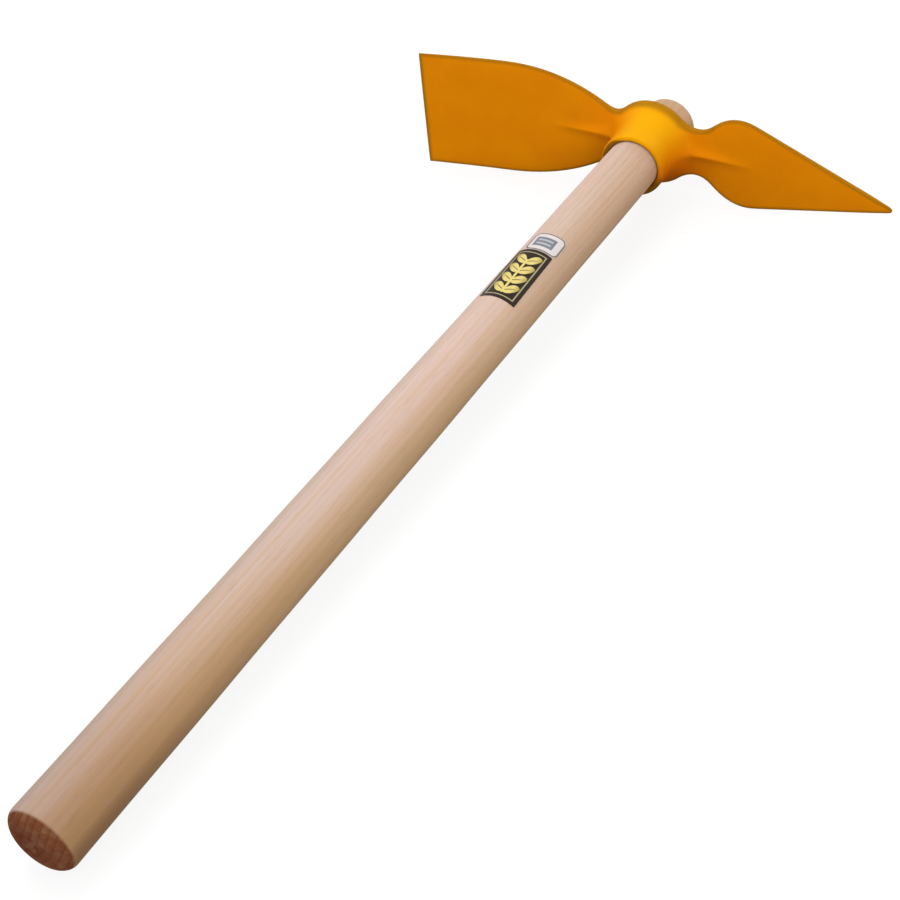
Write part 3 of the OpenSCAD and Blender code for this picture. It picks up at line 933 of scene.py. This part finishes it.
def makePaperGroup():
    # millimetres across and along a wrapped paper, and how far inside its rounded border
    vectors, results = ["Vector", "Facing", "Sideways"], ["Across", "Along", "Inset"]
    numbers = {"Radius": 16.0, "Middle": 0.0, "Askew": 0.0, "HalfWide": 18.0, "HalfLong": 20.0, "Round": 1.0}
    group, given, out = newGroup("wrappedPaper", vectors, numbers, results)
    near = dotProduct(group, given["Vector"], given["Facing"])
    aside = dotProduct(group, given["Vector"], given["Sideways"])
    y = times(group, put(group, "SeparateXYZ", {0: given["Vector"]}).outputs[1], 1 / mm)
    fromMiddle = maths(group, "SUBTRACT", y, given["Middle"])
    arc = times(group, maths(group, "ARCTAN2", aside, near), given["Radius"])
    across = maths(group, "SUBTRACT", arc, times(group, fromMiddle, given["Askew"]))
    along = maths(group, "MULTIPLY_ADD", across, given["Askew"], fromMiddle)

    def pastCorner(value, half):
        # how far a point lies past the line on which the rounded corner starts
        past = maths(group, "SUBTRACT", maths(group, "ABSOLUTE", value), half)
        return maths(group, "ADD", past, given["Round"])

    wide, long = pastCorner(across, given["HalfWide"]), pastCorner(along, given["HalfLong"])
    corner = {0: maths(group, "MAXIMUM", wide, 0.0), 1: maths(group, "MAXIMUM", long, 0.0)}
    outer = lengthOf(group, put(group, "CombineXYZ", corner).outputs[0])
    inner = maths(group, "MINIMUM", maths(group, "MAXIMUM", wide, long), 0.0)
    inset = maths(group, "SUBTRACT", given["Round"], maths(group, "ADD", outer, inner))
    giveOut(group, out, Across=across, Along=along, Inset=inset)
    return group


wrappedPaper = makePaperGroup()


def paperLayout(tree, paper):
    middle, radius, halfWide, halfLong = paperSize(paper)
    turn = math.radians(paper["turn"])
    return useGroup(
        tree, wrappedPaper, Vector=toolCoords(tree),
        Facing=(math.cos(turn), 0.0, math.sin(turn)), Sideways=(-math.sin(turn), 0.0, math.cos(turn)),
        Radius=radius, Middle=middle, Askew=paper["askew"],
        HalfWide=halfWide, HalfLong=halfLong, Round=paper["round"],
    )


def finishPaper(tree, shader, paper, layout, colour):
    coords = toolCoords(tree)
    edge = ramp(tree, layout["Inset"], papers["wornEdge"])
    worn = useGroup(tree, scuff, Vector=coords, Edge=edge, Amount=papers["wear"])
    colour = tinted(tree, colour, papers["rubbed"], worn["Wear"], papers["rubbedShare"])
    tree.links.new(colour, shader.inputs["Base Color"])
    rough = unevenRoughness(tree, worn["Mottle"], paper["roughness"], papers["unevenRough"])
    tree.links.new(rough, shader.inputs["Roughness"])
    shader.inputs["Specular IOR Level"].default_value = papers["shine"]
    bumpInto(tree, shader, longNoise(tree, coords, *papers["wrinkle"]), *papers["bump"])


def labelMaterial():
    # a sprig of leaves on a dark ground inside a thin line
    material, tree, shader = newMaterial("labelPrint")
    look = frontLabel
    layout = paperLayout(tree, look)
    fromStem = maths(tree, "ABSOLUTE", layout["Across"])
    grown = maths(tree, "ADD", layout["Along"], look["lowered"])
    leaned = maths(tree, "MULTIPLY_ADD", fromStem, -look["lean"], grown)
    place = maths(tree, "DIVIDE", leaned, look["pitch"])
    offset = maths(tree, "SUBTRACT", maths(tree, "FRACT", place), 0.5)
    offset = times(tree, maths(tree, "ABSOLUTE", offset), look["pitch"])
    part = maths(tree, "DIVIDE", fromStem, look["leafLong"])
    rest = maths(tree, "MAXIMUM", maths(tree, "SUBTRACT", 1.0, part), 0.0)
    swell = times(tree, maths(tree, "POWER", part, look["swell"]), maths(tree, "POWER", rest, look["taper"]))
    inside = maths(tree, "MULTIPLY_ADD", swell, look["leafWide"], times(tree, offset, -1.0))
    leaf = times(tree, ramp(tree, inside, look["leafEdge"]), ramp(tree, part, look["leafTip"]))
    leaf = times(tree, leaf, band(tree, place, *look["pairs"]))  # four pairs
    vein = times(tree, ramp(tree, offset, look["veinAcross"]), ramp(tree, part, look["veinAlong"]))
    leaf = maths(tree, "SUBTRACT", leaf, times(tree, vein, leaf))
    stem = band(tree, layout["Across"], *look["stemAcross"])
    stem = times(tree, stem, band(tree, grown, *look["stemAlong"]))
    sprig = maths(tree, "MAXIMUM", leaf, stem)
    tint = blendColours(tree, ramp(tree, part, look["oliveSpan"]), look["leaf"], look["olive"])
    line = band(tree, layout["Inset"], *look["lineBand"])
    colour = blendColours(tree, line, look["ground"], look["line"])
    colour = blendColours(tree, sprig, colour, tint)
    finishPaper(tree, shader, look, layout, colour)
    return material


def stickerMaterial():
    # pale film with a grey panel, two plain bars and a thin outline
    material, tree, shader = newMaterial("stickerPrint")
    look = topSticker
    layout = paperLayout(tree, look)
    across, along = layout["Across"], layout["Along"]
    panel = times(tree, band(tree, across, *look["panelAcross"]), band(tree, along, *look["panelAlong"]))
    bars = maths(tree, "MAXIMUM", band(tree, along, *look["upperBar"]), band(tree, along, *look["lowerBar"]))
    bars = times(tree, bars, band(tree, across, *look["barAcross"]))
    outline = band(tree, layout["Inset"], *look["outlineBand"])
    colour = blendColours(tree, panel, look["ground"], look["panel"])
    colour = blendColours(tree, bars, colour, look["bar"])
    colour = blendColours(tree, outline, colour, look["outline"])
    finishPaper(tree, shader, look, layout, colour)
    return material


def wrapPaper(name, paper, slot, node, material):
    piece = addPiece(name, buildPaper(name, paper), "root", slot, node)
    body = piece.modifiers.new("body", "SOLIDIFY")
    body.thickness = papers["thick"]
    body.offset = -1
    applyModifiers(piece)
    layDown(piece.data)
    piece.data.set_sharp_from_angle(angle=sharpFrom)
    piece.data.materials.append(material)
    print(name, "wrapped,", len(piece.data.polygons), "faces")


wrapPaper("frontLabel", frontLabel, "label_film", "front_label", labelMaterial())
wrapPaper("topSticker", topSticker, "sticker_film", "top_sticker", stickerMaterial())


# floor and light
studio = {
    "floor": (0.18, 0.18, 0.18, 1), "floorRough": 0.9, "floorHalf": 6.0,
    "lift": 0.845, "farLift": 0.09, "farSpan": (0.5, 1.4), "ambient": 0.45,
}
lamps = [
    {"name": "keyAbove", "spot": (-0.45, 0.2, 1.15), "aim": (0.0, 0.05, 0.03), "size": 0.9, "watts": 7.6},
    {"name": "frontFill", "spot": (1.4, -1.25, 1.05), "aim": (0.0, 0.15, 0.03), "size": 1.0, "watts": 21.2},
    {"name": "leftFill", "spot": (-0.65, -1.4, 0.3), "aim": (-0.05, 0.2, 0.03), "size": 0.8, "watts": 3.9},
    {"name": "backFill", "spot": (0.3, 1.5, 0.45), "aim": (0.0, 0.05, 0.03), "size": 0.8, "watts": 5.5},
]


def seenRays(tree):
    # 1 for what the camera sees, straight or in a shine or through a pane
    rays = put(tree, "LightPath").outputs
    seen = maths(tree, "MAXIMUM", rays["Is Camera Ray"], rays["Is Glossy Ray"])
    return maths(tree, "MAXIMUM", seen, rays["Is Transmission Ray"])


def floorMaterial():
    material, tree, shader = newMaterial("paleFloor")
    shader.inputs["Base Color"].default_value = studio["floor"]
    shader.inputs["Roughness"].default_value = studio["floorRough"]
    shader.inputs["Specular IOR Level"].default_value = 0.0
    shader.inputs["Emission Color"].default_value = white
    away = lengthOf(tree, put(tree, "TexCoord").outputs["Object"])
    far = ramp(tree, away, studio["farSpan"])
    lift = maths(tree, "MULTIPLY_ADD", far, studio["farLift"], studio["lift"])
    tree.links.new(times(tree, seenRays(tree), lift), shader.inputs["Emission Strength"])
    return material


def makeWorld():
    # plain white to look at, dimmer as a light
    world = bpy.data.worlds.new("studio")
    world.use_nodes = True
    tree = world.node_tree
    tree.nodes.clear()
    strength = maths(tree, "MULTIPLY_ADD", seenRays(tree), 1 - studio["ambient"], studio["ambient"])
    sky = put(tree, "Background", {"Color": white, "Strength": strength})
    tree.links.new(sky.outputs[0], tree.nodes.new("ShaderNodeOutputWorld").inputs[0])
    return world


floorMesh = bpy.data.meshes.new("floor")
half = studio["floorHalf"]
corners = [(-half, -half, 0), (half, -half, 0), (half, half, 0), (-half, half, 0)]
floorMesh.from_pydata(corners, [], [(0, 1, 2, 3)])
floor = bpy.data.objects.new("floor", floorMesh)
scene.collection.objects.link(floor)
floorMesh.materials.append(floorMaterial())
scene.world = makeWorld()

for lamp in lamps:
    data = bpy.data.lights.new(lamp["name"], "AREA")
    data.energy = lamp["watts"]
    data.size = lamp["size"]
    light = bpy.data.objects.new(lamp["name"], data)
    scene.collection.objects.link(light)
    light.location = lamp["spot"]
    aim = Vector(lamp["aim"]) - Vector(lamp["spot"])
    light.rotation_euler = aim.to_track_quat("-Z", "Y").to_euler()
print("floor and light set")
